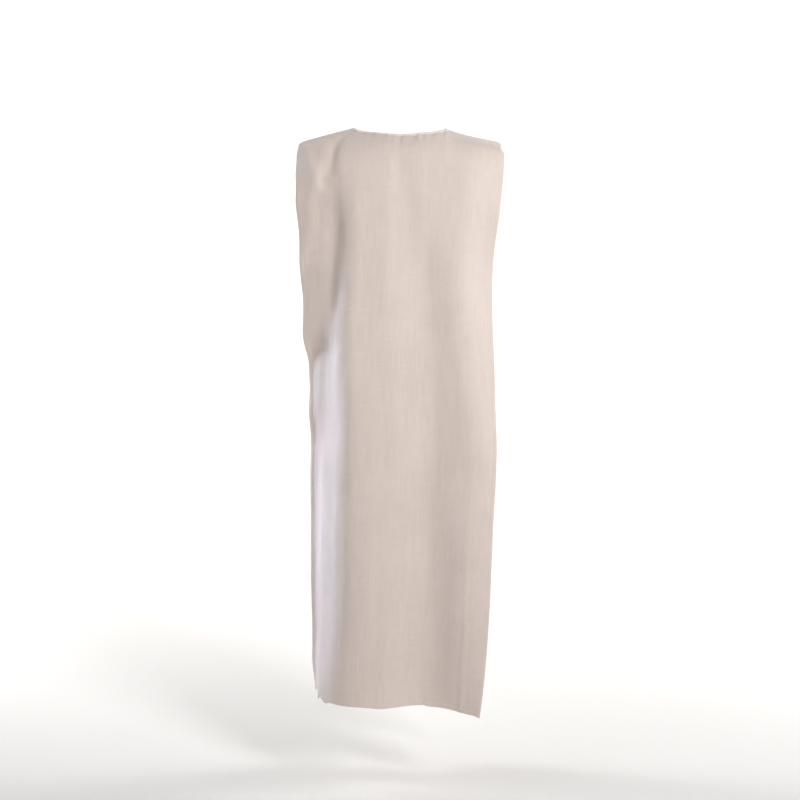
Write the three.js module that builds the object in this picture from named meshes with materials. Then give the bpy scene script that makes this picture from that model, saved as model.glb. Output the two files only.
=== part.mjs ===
// A scapular: a long back panel and a long front panel of cream cotton canvas, joined by a felled
// seam along each shoulder, with a neck opening between them and the sides left open.
// Millimetres, +Z up. The wearer faces -Y, +X is the wearer's left. The origin lies midway between
// the two points where the neck opening meets the shoulder seams, where the wearer holds it up.
import * as THREE from 'three';

// ---- sizes of the cut ----
const PANEL_WIDTH = 476;         // finished width of each panel
const BACK_LENGTH = 1379;        // neck-point level down to the hem of the back, centre line
const FRONT_LENGTH = 1350;       // neck-point level down to the hem of the front, centre line
const NECK_HALF = 104;           // half the width of the neck opening along the shoulder line
const NECK_DEPTH_BACK = 62;      // drop of the back neckline below the neck-point level
const NECK_DEPTH_FRONT = 128;    // drop of the front neckline below the neck-point level
const NECK_ROUND = 0.75;         // power of the neckline: 0.5 is half an ellipse, 1 a parabola
const SHOULDER_SLOPE = 34;       // drop of the shoulder line in the cut, neck point to outer corner
const HEM_SKEW = 12;             // the cloth hangs this much lower at the wearer's right corner
const WALL = 1.6;                // one layer of canvas
const HEM_WALL = 3.0;            // turned hem, thicker on the inner side only
const SIDE_HEM = 12.5;           // width of the turned side hems
const FOOT_HEM = 13.5;           // width of the turned hem at the foot
const HEM_STEP = 1.4;            // run of the step where a turned hem ends
const SEAM_STRIP = 9;            // width of the felled seam strip on the back, below the ridge
const SEAM_RISE = 0.8;           // how far that strip stands proud of the panel
const SEAM_GAP = 0.34;           // clearance between the two panels along the ridge
const BIND_WIDTH = 8;            // visible width of the neck binding
const BIND_WALL = 1.0;           // wall of the neck binding
const BIND_GAP = 0.75;           // clearance between the binding and the cloth it wraps

// ---- how it hangs ----
const RIDGE_DROP = 32;           // height lost from a neck point to an outer shoulder corner
const RIDGE_SAG = 0.68;          // power by which the right shoulder line sags near the neck
const RIDGE_TURN = 16;           // degrees the shoulder line bends forward at its outer end
const RIDGE_REACH = 80;          // length below the ridge over which that bend fades away
const LEVEL_SHARE = 0.8;         // squared level part of a step along a thread that is kept whole
const LEVEL_MARGIN = 0.19;       // the most that what lies beyond that share may add

// ---- sampling ----
const FINE_ACROSS = 3.5;         // spacing of the working lattice across the panel
const FINE_DOWN = 4;             // spacing of the working lattice down the panel
const NECK_COLUMNS = 24;         // mesh columns across the neck opening, and binding stations
const LEFT_COLUMNS = 8;          // mesh columns from the neck binding to the left side hem
const RIGHT_COLUMNS = 6;         // mesh columns from the neck binding to the right side hem
const NECK_PINCH = 1.2;          // spacing of the mesh rows that are gathered along the neckline
const SHOULDER_ROWS = 10;        // evenly spaced mesh rows over the shoulder
const SHOULDER_REACH = 150;      // length of cloth those rows cover
const FALL_ROWS = 20;            // mesh rows from there down to the hem
const FALL_GROWTH = 1.15;        // power by which the rows of the fall spread out
const FOOT_BLEND = 260;          // length over which mesh rows take up the line of the hem

const HALF = PANEL_WIDTH / 2;
const SHOULDER = HALF - NECK_HALF;
const BIND_CLEAR = NECK_HALF + BIND_WIDTH + 1;
const RADIANS = Math.PI / 180;

// Sections: one row for each level down the panel. `centre_x` and `depth` place the centre thread;
// from `flat` to `full` across each side the cloth turns towards the wearer by `turn` degrees.
const SECTION_COLUMNS = ['down', 'centre_x', 'depth', 'turn_left', 'flat_left', 'full_left',
  'turn_right', 'flat_right', 'full_right'];
const BACK_SECTIONS = table(SECTION_COLUMNS, [
  [0, 0, 0, 0, 100, 240, 0, 100, 240],
  [40, 0, 37, 11, 100, 240, 11, 100, 240],
  [80, 0, 73, 19, 100, 230, 19, 100, 240],
  [120, 0, 103, 20, 100, 215, 26, 100, 220],
  [200, 1, 130, 21, 100, 195, 34, 105, 205],
  [310, 2, 139, 21, 95, 185, 43, 98, 180],
  [380, 4, 141, 26, 96, 166, 42, 100, 172],
  [480, 8, 142, 26, 88, 150, 37, 110, 185],
  [600, 12, 143, 37, 78, 140, 30, 130, 200],
  [750, 13, 143, 48, 68, 142, 28, 150, 230],
  [900, 20, 142, 54, 58, 146, 26, 150, 240],
  [1050, 24, 140, 57, 50, 155, 21, 150, 240],
  [1200, 31, 137, 63, 42, 165, 6, 150, 240],
  [1310, 37, 134, 70, 30, 195, -12, 150, 240],
  [1424, 44, 131, 78, 26, 210, -24, 140, 240],
]);
const FRONT_SECTIONS = table(SECTION_COLUMNS, [
  [0, 0, 0, 0, 100, 240, 0, 100, 240],
  [40, 0, 35, 12, 100, 240, 12, 100, 240],
  [80, 0, 67, 20, 100, 230, 20, 100, 230],
  [140, 0, 103, 29, 95, 210, 34, 95, 205],
  [230, 0, 127, 36, 90, 190, 44, 90, 180],
  [380, -1, 134, 45, 85, 175, 46, 85, 170],
  [600, 1, 134, 51, 75, 165, 40, 90, 180],
  [900, 4, 134, 53, 70, 165, 40, 90, 185],
  [1200, 8, 136, 59, 65, 165, 48, 85, 180],
  [1424, 12, 138, 66, 60, 165, 54, 80, 175],
]);

// Folds: one row for each. A fold runs from `top` to `foot` down the panel while its line moves from
// `from` to `to` across it, along a power curve `bow`. `wide` is its half width. `roll` tilts the two
// walls in degrees (positive is a ridge, negative a trough) and `step` leans both walls one way.
const FOLD_COLUMNS = ['name', 'top', 'foot', 'from', 'to', 'bow', 'wide_top', 'wide_foot',
  'roll_top', 'roll_foot', 'step_top', 'step_foot', 'fade_in', 'fade_out'];
const BACK_FOLDS = table(FOLD_COLUMNS, [
  ['main_valley', 280, 600, 137, 225, 2.5, 19, 32, -11, -4, -30, -9, 130, 90],
  ['star_valley', 40, 170, 136, 170, 1, 11, 10, -11, -12, 0, 0, 20, 25],
  ['star_ridge', 30, 175, 228, 186, 1, 10, 10, 18, 8, 0, 0, 22, 25],
  ['flank_ridge', 150, 320, 190, 232, 1, 11, 13, 5, 8, 0, 0, 25, 60],
  ['flank_valley', 175, 250, 172, 182, 1, 8, 10, -8, -5, 0, 0, 25, 60],
  ['wall_edge', 455, 700, 123, 124, 1, 13, 16, 0, 0, -17, -10, 95, 120],
  ['lower_wall', 560, 720, 140, 172, 1, 18, 24, 5, 0, -14, -7, 70, 140],
  ['centre_valley', 150, 455, 8, -60, 1, 18, 30, -4, -5, 0, 0, 60, 120],
  ['long_valley', 480, 1424, -58, -106, 1, 42, 56, -11, -28, 0, 0, 240, 10],
  ['centre_ridge', 180, 735, 45, -38, 1, 26, 44, 4, 4, 0, 0, 60, 260],
  ['right_ridge', 190, 600, -150, -170, 1, 22, 30, 6, 6, 0, 0, 60, 260],
  ['low_left_ridge', 900, 1290, 192, 196, 1, 20, 20, 6, 8, -7, -9, 200, 150],
  ['edge_curl', 700, 1250, 236, 236, 1, 14, 17, 0, 0, 12, 26, 240, 100],
]);
const FRONT_FOLDS = table(FOLD_COLUMNS, [
  ['left_drape', 280, 1424, 118, 92, 1, 26, 46, -8, -17, 0, 0, 160, 10],
  ['right_drape', 240, 1424, -112, -96, 1, 24, 42, -8, -15, 0, 0, 140, 10],
  ['centre_ridge', 480, 1424, 14, -8, 1, 40, 52, 5, 10, 0, 0, 220, 10],
  ['left_edge_ridge', 620, 1300, 190, 184, 1, 20, 24, 6, 10, 0, 0, 180, 120],
  ['chest_drag_left', 150, 320, 96, 132, 1, 14, 18, 8, 5, 0, 0, 50, 120],
  ['chest_drag_right', 150, 300, -92, -120, 1, 13, 17, 7, 4, 0, 0, 50, 110],
  ['corner_ridge_left', 30, 100, 200, 176, 1, 13, 11, 9, 9, 0, 0, 25, 40],
  ['corner_ridge_right', 30, 90, -196, -178, 1, 13, 11, 8, 8, 0, 0, 25, 40],
]);

/** Turns plain rows into objects with the named columns. */
function table(columns, rows) {
  return rows.map((row) => Object.fromEntries(columns.map((column, index) => [column, row[index]])));
}

/** Smooth rise from 0 to 1. */
function ease(value) {
  const k = THREE.MathUtils.clamp(value, 0, 1);
  return k * k * (3 - 2 * k);
}

/** Straight blend between two values. */
function mix(first, last, share) {
  return first + (last - first) * share;
}

/** Reads one column of the sections at a level, along a cubic through the rows. */
function section(rows, column, level) {
  const last = rows.length - 1;
  const down = THREE.MathUtils.clamp(level, rows[0].down, rows[last].down);
  let cell = 0;
  while (cell < last - 1 && rows[cell + 1].down < down) {
    cell += 1;
  }
  const rate = (index) => {
    const run = rows[index + 1].down - rows[index].down;
    return (rows[index + 1][column] - rows[index][column]) / run;
  };
  const lean = (index) => {
    if (index === 0) {
      return rate(0);
    }
    if (index === last) {
      return rate(last - 1);
    }
    const before = rows[index].down - rows[index - 1].down;
    const after = rows[index + 1].down - rows[index].down;
    return (rate(index - 1) * after + rate(index) * before) / (before + after);
  };
  const run = rows[cell + 1].down - rows[cell].down;
  const k = (down - rows[cell].down) / run;
  const start = (1 + 2 * k) * (1 - k) * (1 - k) * rows[cell][column];
  const end = k * k * (3 - 2 * k) * rows[cell + 1][column];
  const bends = k * (1 - k) * (1 - k) * lean(cell) - k * k * (1 - k) * lean(cell + 1);
  return start + end + bends * run;
}

/** Shape of the shoulder line: 0 at a neck point, -1 at an outer corner, rounded between. */
function crown(across) {
  const reach = Math.abs(across);
  if (reach > NECK_HALF) {
    return -(reach - NECK_HALF) / SHOULDER;
  }
  return (NECK_HALF / SHOULDER / 2) * (1 - (reach / NECK_HALF) ** 2);
}

/** Height of the shoulder line as it hangs: the crown, with the right side sagging near the neck. */
function ridgeLine(across) {
  const run = (-across - NECK_HALF) / SHOULDER;
  return RIDGE_DROP * (run > 0 ? -(run ** RIDGE_SAG) : crown(across));
}

/** Level of the neckline, measured down the cloth from the shoulder line. */
function neckLevel(across, depth) {
  const reach = Math.min(Math.abs(across) / NECK_HALF, 1);
  return reach < 1 ? SHOULDER_SLOPE * crown(across) + depth * (1 - reach * reach) ** NECK_ROUND : 0;
}

/** Level of the hem at the foot, measured down the cloth from the shoulder line. */
function footLevel(panel, across) {
  return panel.length + SHOULDER_SLOPE * crown(across) - (HEM_SKEW * across) / HALF;
}

/** Turn of the cloth away from straight across, in degrees, at a place on a panel. */
function heading(panel, row, across, down) {
  const left = ease((across - row.flat_left) / (row.full_left - row.flat_left));
  const right = ease((-across - row.flat_right) / (row.full_right - row.flat_right));
  let turn = row.turn_right * right - row.turn_left * left;
  const tip = THREE.MathUtils.clamp((Math.abs(across) - NECK_HALF) / SHOULDER, 0, 1);
  const forward = Math.sign(across) * Math.sin((tip * Math.PI) / 2) * (1 - ease(down / RIDGE_REACH));
  turn -= panel.side * RIDGE_TURN * forward;
  for (const fold of panel.folds) {
    const start = ease((down - fold.top + fold.fade_in) / fold.fade_in);
    const finish = ease((fold.foot + fold.fade_out - down) / fold.fade_out);
    const share = THREE.MathUtils.clamp((down - fold.top) / (fold.foot - fold.top), 0, 1);
    const line = mix(fold.from, fold.to, share ** fold.bow);
    const place = (across - line) / mix(fold.wide_top, fold.wide_foot, share);
    const roll = mix(fold.roll_top, fold.roll_foot, share) * place * Math.exp(0.5);
    const step = mix(fold.step_top, fold.step_foot, share);
    turn += start * finish * (step - roll) * Math.exp((-place * place) / 2);
  }
  return turn;
}

/** Works out the hanging cloth on a fine lattice: threads keep their lengths both ways. */
function hang(panel) {
  const columns = Math.round(PANEL_WIDTH / FINE_ACROSS) + 1;
  const rows = Math.ceil((panel.length + 3 * HEM_SKEW) / FINE_DOWN) + 1;
  const stride = PANEL_WIDTH / (columns - 1);
  const middle = (columns - 1) / 2;
  const slope = Math.atan2(RIDGE_DROP, SHOULDER);
  const lattice = [];
  for (let j = 0; j < rows; j += 1) {
    const down = j * FINE_DOWN;
    const level = {};
    for (const column of SECTION_COLUMNS) {
      level[column] = section(panel.sections, column, down);
    }
    const line = [new THREE.Vector2(0, 0)];
    let before = heading(panel, level, -HALF, down) * RADIANS;
    for (let i = 1; i < columns; i += 1) {
      const turn = heading(panel, level, i * stride - HALF, down) * RADIANS;
      const x = line[i - 1].x + ((Math.cos(before) + Math.cos(turn)) / 2) * stride;
      const y = line[i - 1].y + ((Math.sin(before) + Math.sin(turn)) / 2) * stride;
      line.push(new THREE.Vector2(x, y));
      before = turn;
    }
    const centre = line[middle].clone();
    const shorten = (1 - Math.cos(slope)) * (1 - ease(down / (2 * RIDGE_REACH)));
    const points = line.map((point, i) => {
      const across = i * stride - HALF;
      const past = Math.max(Math.abs(across) - NECK_HALF, 0) * Math.sign(across);
      const x = point.x - centre.x + level.centre_x - past * shorten;
      const out = point.y - centre.y + level.depth;
      return new THREE.Vector3(x, out, ridgeLine(across));
    });
    if (j > 0) {
      points.forEach((point, i) => {
        const above = lattice[j - 1][i];
        const share = ((point.x - above.x) ** 2 + (point.y - above.y) ** 2) / FINE_DOWN ** 2;
        const over = Math.tanh(Math.max(share - LEVEL_SHARE, 0) / LEVEL_MARGIN) * LEVEL_MARGIN;
        point.z = above.z - FINE_DOWN * Math.sqrt(1 - Math.min(share, LEVEL_SHARE) - over);
      });
    }
    lattice.push(points);
  }
  return { lattice, stride, columns, rows };
}

/** Place on the outer face of a hung panel, between the points of its lattice. */
function place(panel, across, down) {
  const { lattice, stride, columns, rows } = panel.hung;
  const u = THREE.MathUtils.clamp((across + HALF) / stride, 0, columns - 1.001);
  const v = THREE.MathUtils.clamp(down / FINE_DOWN, 0, rows - 1.001);
  const i = Math.floor(u);
  const j = Math.floor(v);
  const upper = lattice[j][i].clone().lerp(lattice[j][i + 1], u - i);
  const lower = lattice[j + 1][i].clone().lerp(lattice[j + 1][i + 1], u - i);
  const point = upper.lerp(lower, v - j);
  return point.set(point.x, panel.side * (point.y + SEAM_GAP / 2), point.z);
}

/** Outward direction of the cloth at a place. On the ridge it stays in the plane of the seam. */
function outward(panel, across, down) {
  const reach = FINE_DOWN;
  const a = place(panel, Math.min(across + reach, HALF), down);
  const b = place(panel, Math.max(across - reach, -HALF), down);
  const c = place(panel, across, down + reach);
  const d = place(panel, across, Math.max(down - reach, 0));
  const line = a.sub(b);
  if (down === 0) {
    return new THREE.Vector3(-line.z, 0, line.x).normalize();
  }
  return line.cross(c.sub(d)).multiplyScalar(panel.side).normalize();
}

/** Thickness of a panel at a place: one layer, or more where a hem is turned in. */
function wallAt(across, down, foot) {
  const side = ease((Math.abs(across) - HALF + SIDE_HEM) / HEM_STEP + 1);
  const low = ease((down - foot + FOOT_HEM) / HEM_STEP + 1);
  return mix(WALL, HEM_WALL, Math.max(side, low));
}

/** Height of the outer face over the plain cloth: the seam strip, from the binding outwards. */
function riseAt(panel, across, down) {
  const strip = Math.abs(across) > BIND_CLEAR ? panel.seamRise : 0;
  return strip * (1 - ease((down - SEAM_STRIP) / HEM_STEP));
}

/** Mesh columns: close together at the neck points, even over the shoulders, one pair per hem. */
function acrossStations() {
  const stations = [-HALF, -HALF + SIDE_HEM, -HALF + SIDE_HEM + HEM_STEP];
  const start = HALF - SIDE_HEM - HEM_STEP;
  for (let k = 1; k <= RIGHT_COLUMNS; k += 1) {
    stations.push(mix(-start, -BIND_CLEAR, k / RIGHT_COLUMNS));
  }
  for (let k = 0; k <= NECK_COLUMNS; k += 1) {
    stations.push(-NECK_HALF * Math.cos((Math.PI * k) / NECK_COLUMNS));
  }
  for (let k = 0; k < LEFT_COLUMNS; k += 1) {
    stations.push(mix(BIND_CLEAR, start, k / LEFT_COLUMNS));
  }
  stations.push(start, HALF - SIDE_HEM, HALF);
  return stations;
}

/** Mesh rows: close together over the shoulder and wider apart down the long fall. */
function downStations(length) {
  const stations = [0, SEAM_STRIP];
  const first = SEAM_STRIP + HEM_STEP;
  const last = length - FOOT_HEM - HEM_STEP;
  for (let k = 0; k < SHOULDER_ROWS; k += 1) {
    stations.push(mix(first, SHOULDER_REACH, k / SHOULDER_ROWS));
  }
  for (let k = 0; k <= FALL_ROWS; k += 1) {
    stations.push(mix(SHOULDER_REACH, last, (k / FALL_ROWS) ** FALL_GROWTH));
  }
  stations.push(length - FOOT_HEM, length);
  return stations;
}

/** Closed mesh from an outer and an inner sheet of points with the same rows and columns. */
function shell(outer, inner, side) {
  const columns = outer.length;
  const rows = outer[0].length;
  const positions = [...outer.flat(), ...inner.flat()].flatMap((point) => point.toArray());
  const near = (i, j) => i * rows + j;
  const far = (i, j) => columns * rows + i * rows + j;
  const index = [];
  const quad = (a, b, c, d) => {
    const order = side > 0 ? [a, b, c, a, c, d] : [a, c, b, a, d, c];
    index.push(...order);
  };
  for (let i = 0; i < columns - 1; i += 1) {
    for (let j = 0; j < rows - 1; j += 1) {
      quad(near(i, j), near(i + 1, j), near(i + 1, j + 1), near(i, j + 1));
      quad(far(i, j), far(i, j + 1), far(i + 1, j + 1), far(i + 1, j));
    }
    quad(near(i, 0), far(i, 0), far(i + 1, 0), near(i + 1, 0));
    quad(near(i, rows - 1), near(i + 1, rows - 1), far(i + 1, rows - 1), far(i, rows - 1));
  }
  for (let j = 0; j < rows - 1; j += 1) {
    quad(near(0, j), near(0, j + 1), far(0, j + 1), far(0, j));
    quad(near(columns - 1, j), far(columns - 1, j), far(columns - 1, j + 1), near(columns - 1, j + 1));
  }
  const geometry = new THREE.BufferGeometry();
  geometry.setAttribute('position', new THREE.Float32BufferAttribute(positions, 3));
  geometry.setIndex(index);
  return geometry;
}

/** One panel of the scapular as a thin closed solid. */
function panelGeometry(panel) {
  const outer = [];
  const inner = [];
  const levels = downStations(panel.length);
  const settled = FOOT_BLEND - FOOT_HEM - HEM_STEP;
  for (const across of acrossStations()) {
    const top = neckLevel(across, panel.neckDepth);
    const foot = footLevel(panel, across);
    const outerLine = [];
    const innerLine = [];
    levels.forEach((level, row) => {
      const low = ease((level - panel.length + FOOT_BLEND) / settled);
      const down = Math.max(level + (foot - panel.length) * low, top + NECK_PINCH * row);
      const point = place(panel, across, down);
      const normal = outward(panel, across, down);
      const rise = riseAt(panel, across, down);
      outerLine.push(point.clone().addScaledVector(normal, rise));
      innerLine.push(point.clone().addScaledVector(normal, -wallAt(across, down, foot)));
    });
    outer.push(outerLine);
    inner.push(innerLine);
  }
  return shell(outer, inner, panel.side);
}

/** One ring of the neck binding: a folded strip around the raw edge, outside, over and inside. */
function bindingRing(panel, angle) {
  const across = NECK_HALF * Math.cos(angle);
  const rise = Math.abs(Math.sin(angle));
  const onRidge = rise < 1e-9;
  const down = onRidge ? 0 : neckLevel(across, panel.neckDepth);
  const lean = 2 * NECK_ROUND * Math.cos(angle) * panel.neckDepth;
  const away = new THREE.Vector2(lean, rise ** (2 - 2 * NECK_ROUND) * NECK_HALF).normalize();
  const sample = (reach) => {
    const s = across + away.x * reach;
    const t = onRidge ? 0 : down + away.y * reach;
    return { point: place(panel, s, t), normal: outward(panel, s, t) };
  };
  const edge = sample(0);
  const root = sample(BIND_WIDTH / 2);
  const tip = sample(BIND_WIDTH);
  const open = edge.point.clone().sub(root.point).normalize();
  const out = (at, height) => at.point.clone().addScaledVector(at.normal, height);
  const past = (height, beyond) => out(edge, height).addScaledVector(open, beyond);
  const over = BIND_GAP;
  const under = -WALL - BIND_GAP;
  const ring = [
    out(tip, over + BIND_WALL),
    out(root, over + BIND_WALL),
    past(over + BIND_WALL, 0),
    past((over + under) / 2, BIND_GAP + 1.5 * BIND_WALL),
    past(under - BIND_WALL, 0),
    out(root, under - BIND_WALL),
    out(tip, under - BIND_WALL),
    out(tip, under),
    out(root, under),
    past(under, BIND_GAP),
    past(over, BIND_GAP),
    out(root, over),
    out(tip, over),
  ];
  if (onRidge) {
    ring.forEach((point) => point.setY(0));
  }
  return ring;
}

/** The neck binding: rings joined all round the opening. */
function bindingGeometry(back, front) {
  const rings = [];
  for (const panel of [back, front]) {
    for (let k = 0; k < NECK_COLUMNS; k += 1) {
      const angle = (Math.PI * k) / NECK_COLUMNS;
      rings.push(bindingRing(panel, panel === back ? angle : angle + Math.PI));
    }
  }
  const size = rings[0].length;
  const index = [];
  rings.forEach((ring, i) => {
    const next = (i + 1) % rings.length;
    for (let k = 0; k < size; k += 1) {
      const m = (k + 1) % size;
      index.push(i * size + k, next * size + k, next * size + m);
      index.push(i * size + k, next * size + m, i * size + m);
    }
  });
  const positions = rings.flat().flatMap((point) => point.toArray());
  const geometry = new THREE.BufferGeometry();
  geometry.setAttribute('position', new THREE.Float32BufferAttribute(positions, 3));
  geometry.setIndex(index);
  return geometry;
}

/** A named mesh with its own plain material. */
function piece(name, geometry, colour) {
  geometry.computeVertexNormals();
  const material = new THREE.MeshStandardMaterial({ color: colour, roughness: 0.9 });
  const mesh = new THREE.Mesh(geometry, material);
  mesh.name = name;
  return mesh;
}

const back = {
  side: 1,
  length: BACK_LENGTH,
  seamRise: SEAM_RISE,
  neckDepth: NECK_DEPTH_BACK,
  sections: BACK_SECTIONS,
  folds: BACK_FOLDS,
};
const front = {
  side: -1,
  length: FRONT_LENGTH,
  seamRise: 0,
  neckDepth: NECK_DEPTH_FRONT,
  sections: FRONT_SECTIONS,
  folds: FRONT_FOLDS,
};
back.hung = hang(back);
front.hung = hang(front);

const scapular = new THREE.Group();
scapular.name = 'scapular';
scapular.add(
  piece('back_panel', panelGeometry(back), 0xe4d3ca),
  piece('front_panel', panelGeometry(front), 0xe4d3ca),
  piece('neck_binding', bindingGeometry(back, front), 0xebdfd5),
);

export default scapular;
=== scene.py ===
"""Looks of a scapular in cream cotton canvas, hanging as it is worn.

Two long panels of cloth, a bias binding round the neck, and the topstitching that holds the
turned hems and the felled shoulder seams. Shapes are worked out in millimetres from the cut and
turned to metres when a mesh is made. +Z is up, the wearer faces -Y, +X is the wearer's left.
"""

import math

import bpy
import numpy as np
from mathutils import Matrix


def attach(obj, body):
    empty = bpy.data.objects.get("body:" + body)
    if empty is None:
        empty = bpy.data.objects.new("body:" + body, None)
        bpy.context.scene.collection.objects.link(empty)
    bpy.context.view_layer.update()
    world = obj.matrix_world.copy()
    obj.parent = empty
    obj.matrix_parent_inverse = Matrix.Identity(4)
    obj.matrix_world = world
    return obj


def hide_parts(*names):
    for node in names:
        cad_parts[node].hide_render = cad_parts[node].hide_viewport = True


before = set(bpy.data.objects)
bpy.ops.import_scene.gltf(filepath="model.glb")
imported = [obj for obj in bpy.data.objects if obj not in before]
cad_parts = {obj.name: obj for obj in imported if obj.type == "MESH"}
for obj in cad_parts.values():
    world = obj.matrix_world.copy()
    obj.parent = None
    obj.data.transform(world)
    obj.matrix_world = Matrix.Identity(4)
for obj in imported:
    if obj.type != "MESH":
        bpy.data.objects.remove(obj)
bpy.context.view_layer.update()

MM = 0.001

# ---- sizes of the cut, in millimetres ----
PANEL_WIDTH = 476
BACK_LENGTH = 1379
FRONT_LENGTH = 1350
NECK_HALF = 104
NECK_DEPTH_BACK = 62
NECK_DEPTH_FRONT = 128
NECK_ROUND = 0.75  # power that shapes the neckline: 0.5 is half an ellipse, 1 is a parabola
SHOULDER_SLOPE = 34
HEM_SKEW = 12
CLOTH = 1.0  # one layer of canvas
HEM_CLOTH = 2.3  # three layers where a hem is turned in twice
SIDE_HEM = 12.5
FOOT_HEM = 13.5
HEM_STEP = 1.4
SEAM_STRIP = 9
SEAM_RISE = 0.5
SEAM_GAP = 0.1
EDGE_HALF = 0.08  # half the thickness that is left at the very edge of a rounded hem
BIND_WIDTH = 8
BIND_CLOTH = 0.9
BIND_GAP = 0.35
STITCH_PITCH = 3.1  # length of one stitch and the hole after it
STITCH_LENGTH = 2.5
STITCH_INSET = 1.5  # from the fold of a hem to its row of stitches
STRIP_ROWS = (1.8, SEAM_STRIP - 1.6)  # levels of the two rows on a felled shoulder strip
THREAD = 0.5  # thickness of the sewing thread
THREAD_SIDES = 5

# ---- how it hangs, in millimetres and degrees ----
RIDGE_DROP = 32
RIDGE_TURN = 16
RIDGE_REACH = 80
RIDGE_SAG = 0.68  # power of the sag on the right side: 1 is a straight shoulder
CORNER_REACH = 16
CORNER_DROP = 5
LEVEL_SHARE = 0.8  # share of a thread's squared length that may run level before it is eased
LEVEL_MARGIN = 0.19  # the most that easing lets it rise past that share

# ---- unevenness of worn canvas: height, width across and length down, in millimetres ----
LONG_WAVE = (0.9, 23, 210)
SHORT_WAVE = (0.3, 10, 60)
SHOULDER_DRAG = (0.2, 34, 24)
SHOULDER_DRAG_REACH = 130
NECK_PUCKER = (2.2, 7)  # height and width
NECK_PUCKER_LEVEL = 16  # below the neckline's edge
NECK_PUCKER_REACH = 13
HEM_PUCKER = (0.5, 11)
HEM_PUCKER_REACH = 9
HEM_MIDDLE = 7  # from a hem's fold to where its puckers are highest
SETTLE = 30  # length over which the unevenness starts below the ridge
GROOVE = (0.4, 0.9)  # depth and reach of the dent along a row of stitches
HEM_SWELL = (0.25, 4)  # height and reach of the swell in the middle of a hem
FIELD_SHIFT = 40  # keeps the uneven field's own places above nought

HALF = PANEL_WIDTH / 2
SHOULDER = HALF - NECK_HALF
BIND_CLEAR = NECK_HALF + BIND_WIDTH + 1

# ---- sampling ----
LATTICE_ACROSS = 341
LATTICE_DOWN = 2.0
MESH_ACROSS = 178
MESH_DOWN = 250
NECK_PINCH = 0.35
FOOT_BLEND = 260
BIND_STATIONS = 110

# ---- studio, in millimetres ----
FLOOR = -1510
FLOOR_NEAR = 5200
COVE_START = 2600
COVE_RADIUS = 900
BACKDROP_HEIGHT = 4200
STUDIO_HALF = 14000
WORLD_STRENGTH = 0.19
LENS = 70.7
SENSOR = 36
CAMERA_PLACE = (0, 3600, -210)
CAMERA_TILT = 6.48  # degrees down from level


def table(columns, rows):
    """Rows of plain numbers as dictionaries with the named columns."""
    return [dict(zip(columns, row)) for row in rows]


# Levels down a panel: the centre thread's place, and how far each side turns towards the wearer
# between its `flat` and `full` distances from the centre.
SECTION_COLUMNS = (
    "down", "centre_x", "depth", "turn_left", "flat_left", "full_left",
    "turn_right", "flat_right", "full_right",
)
BACK_SECTIONS = table(SECTION_COLUMNS, [
    (0, 0, 0, 0, 100, 240, 0, 100, 240),
    (40, 0, 37, 11, 100, 240, 11, 100, 240),
    (80, 0, 73, 19, 100, 230, 19, 100, 240),
    (120, 0, 103, 20, 100, 215, 26, 100, 220),
    (200, 1, 130, 21, 100, 195, 34, 105, 205),
    (310, 2, 139, 21, 95, 185, 43, 98, 180),
    (380, 4, 141, 26, 96, 166, 42, 100, 172),
    (480, 8, 142, 26, 88, 150, 37, 110, 185),
    (600, 12, 143, 37, 78, 140, 30, 130, 200),
    (750, 13, 143, 48, 68, 142, 28, 150, 230),
    (900, 20, 142, 54, 58, 146, 26, 150, 240),
    (1050, 24, 140, 57, 50, 155, 21, 150, 240),
    (1200, 31, 137, 63, 42, 165, 6, 150, 240),
    (1310, 37, 134, 70, 30, 195, -12, 150, 240),
    (1424, 44, 131, 78, 26, 210, -24, 140, 240),
])
FRONT_SECTIONS = table(SECTION_COLUMNS, [
    (0, 0, 0, 0, 100, 240, 0, 100, 240),
    (40, 0, 35, 12, 100, 240, 12, 100, 240),
    (80, 0, 67, 20, 100, 230, 20, 100, 230),
    (140, 0, 103, 29, 95, 210, 34, 95, 205),
    (230, 0, 127, 36, 90, 190, 44, 90, 180),
    (380, -1, 134, 45, 85, 175, 46, 85, 170),
    (600, 1, 134, 51, 75, 165, 40, 90, 180),
    (900, 4, 134, 53, 70, 165, 40, 90, 185),
    (1200, 8, 136, 59, 65, 165, 48, 85, 180),
    (1424, 12, 138, 66, 60, 165, 54, 80, 175),
])
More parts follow.
